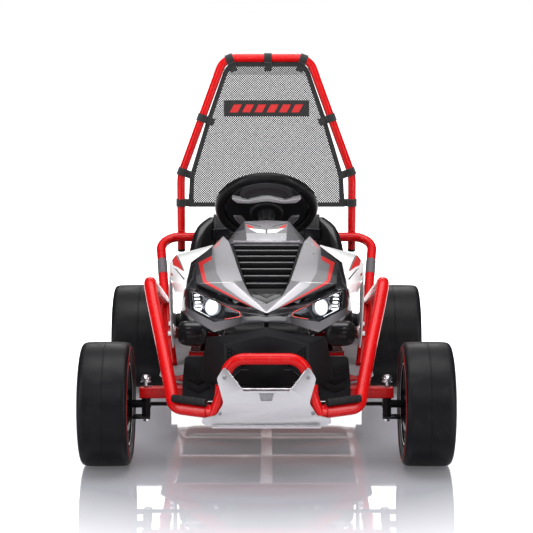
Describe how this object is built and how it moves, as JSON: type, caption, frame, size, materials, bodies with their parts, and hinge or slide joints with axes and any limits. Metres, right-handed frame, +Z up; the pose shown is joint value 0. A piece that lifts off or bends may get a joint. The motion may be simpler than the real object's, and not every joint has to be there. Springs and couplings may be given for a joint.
{
  "type": "electric drift kart",
  "caption": "Ride-on electric drift kart for a child: slick wheels on steering knuckles, bent tube frame, moulded nose with grille and lamps, bucket seat and netted roll hoop.",
  "frame": {"origin": "bottom centre of the whole kart's box, on the floor; 35 mm in front of it lies the middle of the wheelbase", "axes": "+X to the kart's own left, -Y forwards, +Z up"},
  "size_m": [0.86, 1.22, 0.9433],
  "materials": {
    "red_steel": "gloss red powder coat",
    "bare_steel": "brushed",
    "floor_metal": "satin silver grey",
    "black_steel": "satin black",
    "net_fabric": "open polyester mesh with woven binding",
    "webbing": "woven webbing",
    "gloss_black": "gloss moulded",
    "black_plastic": "fine grain",
    "silver_plastic": "silver grey satin gloss",
    "white_plastic": "gloss",
    "lamp_lens": "clear lens over reflector",
    "grip_rubber": "matt",
    "tyre_rubber": "smooth slick with moulding line",
    "rim_plastic": "gloss black"
  },
  "bodies": {
    "chassis": {"chassis_frame": "red_steel", "front_axle_beam": "red_steel", "seat_frame": "red_steel", "seat_hoop": "red_steel", "guard_bar_left": "red_steel", "guard_bar_right": "red_steel", "nose_frame": "black_steel", "bumper_hoop": "red_steel", "roll_cage": "red_steel", "skid_plate": "bare_steel", "floor_plate": "floor_metal", "rear_axle": "bare_steel", "cage_net": "net_fabric", "harness_left": "webbing", "harness_right": "webbing", "seat_shell": "gloss_black", "battery_pack": "black_plastic", "column_bracket": "black_steel", "hood_grille": "black_plastic", "hood_panel": "silver_plastic", "dash_cowl": "silver_plastic", "light_bezel": "gloss_black", "lower_shroud": "black_plastic", "wing_left": "white_plastic", "wing_right": "white_plastic", "side_panel_left": "white_plastic", "side_panel_right": "white_plastic", "headlight_left": "lamp_lens", "headlight_right": "lamp_lens", "pedal_left": "black_plastic", "pedal_right": "black_plastic", "motor_left": "black_plastic", "motor_right": "black_plastic", "foot_grip_left": "grip_rubber", "foot_grip_right": "grip_rubber"},
    "steering": {"steering_rim": "black_plastic", "steering_hub": "black_plastic", "steering_column": "black_steel"},
    "track_rod": {"track_rod": "black_steel"},
    "knuckle_left": {"knuckle_left": "black_steel", "kingpin_left": "bare_steel"},
    "knuckle_right": {"knuckle_right": "black_steel", "kingpin_right": "bare_steel"},
    "wheel_front_left": {"tyre_front_left": "tyre_rubber", "rim_front_left": "rim_plastic"},
    "wheel_front_right": {"tyre_front_right": "tyre_rubber", "rim_front_right": "rim_plastic"},
    "wheel_rear_left": {"tyre_rear_left": "tyre_rubber", "rim_rear_left": "rim_plastic"},
    "wheel_rear_right": {"tyre_rear_right": "tyre_rubber", "rim_rear_right": "rim_plastic"}
  },
  "joints": [
    {"name": "steering_turn", "type": "hinge", "parent": "chassis", "child": "steering", "pos_m": [0, 0.005, 0.563], "axis": [0, 0.7071, 0.7071], "range_deg": [-42, 42]},
    {"name": "kingpin_left_turn", "type": "hinge", "parent": "chassis", "child": "knuckle_left", "pos_m": [0.281, -0.395, 0.145], "axis": [0, 0, 1], "range_deg": [-25.2, 25.2]},
    {"name": "kingpin_right_turn", "type": "hinge", "parent": "chassis", "child": "knuckle_right", "pos_m": [-0.281, -0.395, 0.145], "axis": [0, 0, 1], "range_deg": [-25.2, 25.2]},
    {"name": "track_rod_pivot", "type": "hinge", "parent": "knuckle_left", "child": "track_rod", "pos_m": [0.281, -0.335, 0.131], "axis": [0, 0, 1], "range_deg": [-25.2, 25.2]},
    {"name": "front_left_spin", "type": "hinge", "parent": "knuckle_left", "child": "wheel_front_left", "pos_m": [0.3725, -0.395, 0.145], "axis": [1, 0, 0], "continuous": true},
    {"name": "front_right_spin", "type": "hinge", "parent": "knuckle_right", "child": "wheel_front_right", "pos_m": [-0.3725, -0.395, 0.145], "axis": [1, 0, 0], "continuous": true},
    {"name": "rear_left_spin", "type": "hinge", "parent": "chassis", "child": "wheel_rear_left", "pos_m": [0.355, 0.465, 0.145], "axis": [1, 0, 0], "continuous": true},
    {"name": "rear_right_spin", "type": "hinge", "parent": "chassis", "child": "wheel_rear_right", "pos_m": [-0.355, 0.465, 0.145], "axis": [1, 0, 0], "continuous": true}
  ],
  "couplings": [
    {"joint": "kingpin_left_turn", "follows": "steering_turn", "ratio": 0.6},
    {"joint": "kingpin_right_turn", "follows": "steering_turn", "ratio": 0.6},
    {"joint": "track_rod_pivot", "follows": "steering_turn", "ratio": -0.6}
  ]
}
